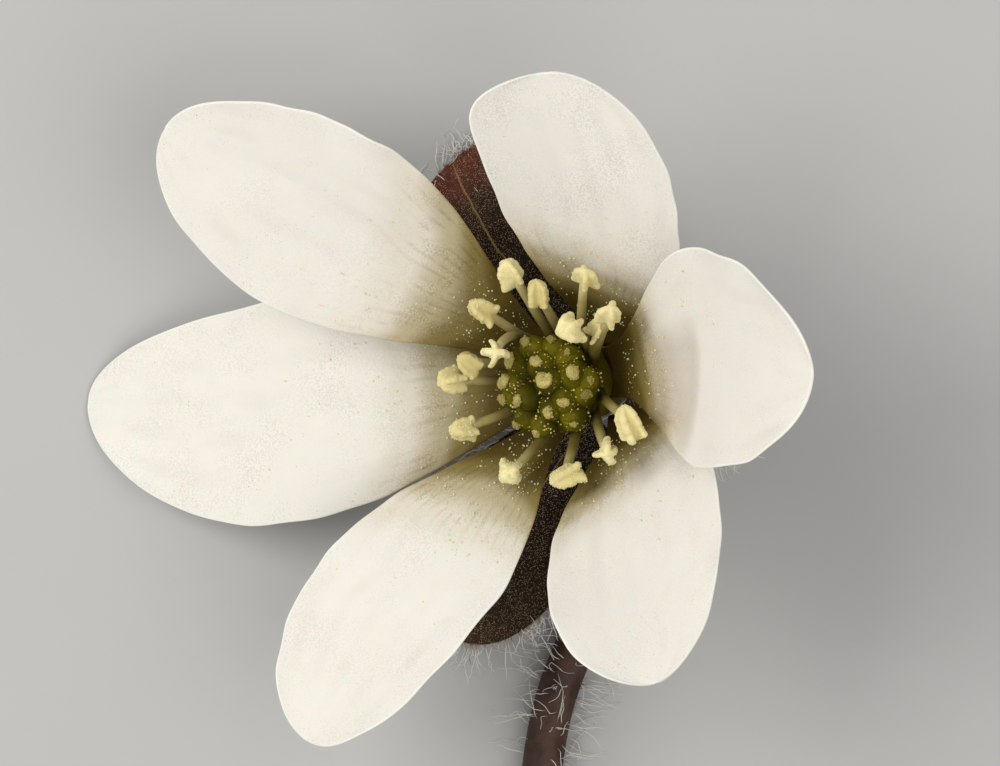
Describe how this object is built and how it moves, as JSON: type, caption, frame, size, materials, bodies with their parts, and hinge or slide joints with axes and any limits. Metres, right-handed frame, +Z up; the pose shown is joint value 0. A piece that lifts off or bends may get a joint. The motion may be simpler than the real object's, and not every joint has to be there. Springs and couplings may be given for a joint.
{
  "type": "hepatica flower",
  "caption": "Picked wild woodland flower lying on a surface: open white petal-like sepals over dark hairy bracts, a green carpel head ringed by cream stamens, and a bent hairy stem.",
  "frame": {"origin": "on the surface that the flower lies on, under the middle of its bounding box", "axes": "+Z up from the surface; +Y along the lying stem towards the bloom; +X across the bloom, away from the side that it leans to"},
  "size_m": [0.023, 0.0418, 0.016],
  "materials": {
    "sepal": "satin",
    "bract": "matte",
    "stem": "matte",
    "carpels": "satin",
    "stamens": "matte"
  },
  "bodies": {
    "root": {"sepal_1": "sepal", "sepal_2": "sepal", "sepal_3": "sepal", "sepal_4": "sepal", "sepal_5": "sepal", "sepal_6": "sepal", "bract_1": "bract", "bract_2": "bract", "bract_3": "bract", "stem": "stem", "carpels": "carpels", "stamens": "stamens"}
  },
  "joints": []
}
